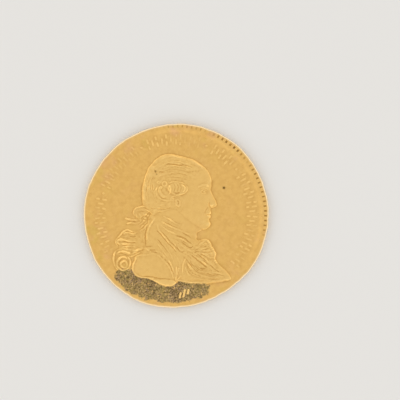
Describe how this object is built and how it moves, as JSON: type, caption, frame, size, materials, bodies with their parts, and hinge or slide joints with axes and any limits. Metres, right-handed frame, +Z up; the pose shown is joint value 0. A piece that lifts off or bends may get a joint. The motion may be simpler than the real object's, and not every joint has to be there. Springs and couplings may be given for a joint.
{
  "type": "gold coin",
  "caption": "Thin struck gold coin with a draped, armoured bust in low relief, a toothed border and rows of plain strokes in place of its legend, lying portrait side up.",
  "frame": {"origin": "middle of the coin's extents, on the plane of the lower border that it lies on", "axes": "+Z up through the portrait face, +Y towards the top of the head, +X the way the bust looks"},
  "size_m": [0.021, 0.021, 0.0009],
  "materials": {
    "gold": "struck gold with a soft satin lustre, worn bright on its highest lines, and a rough olive-brown patch under the bust"
  },
  "bodies": {
    "root": {"coin": "gold"}
  },
  "joints": []
}
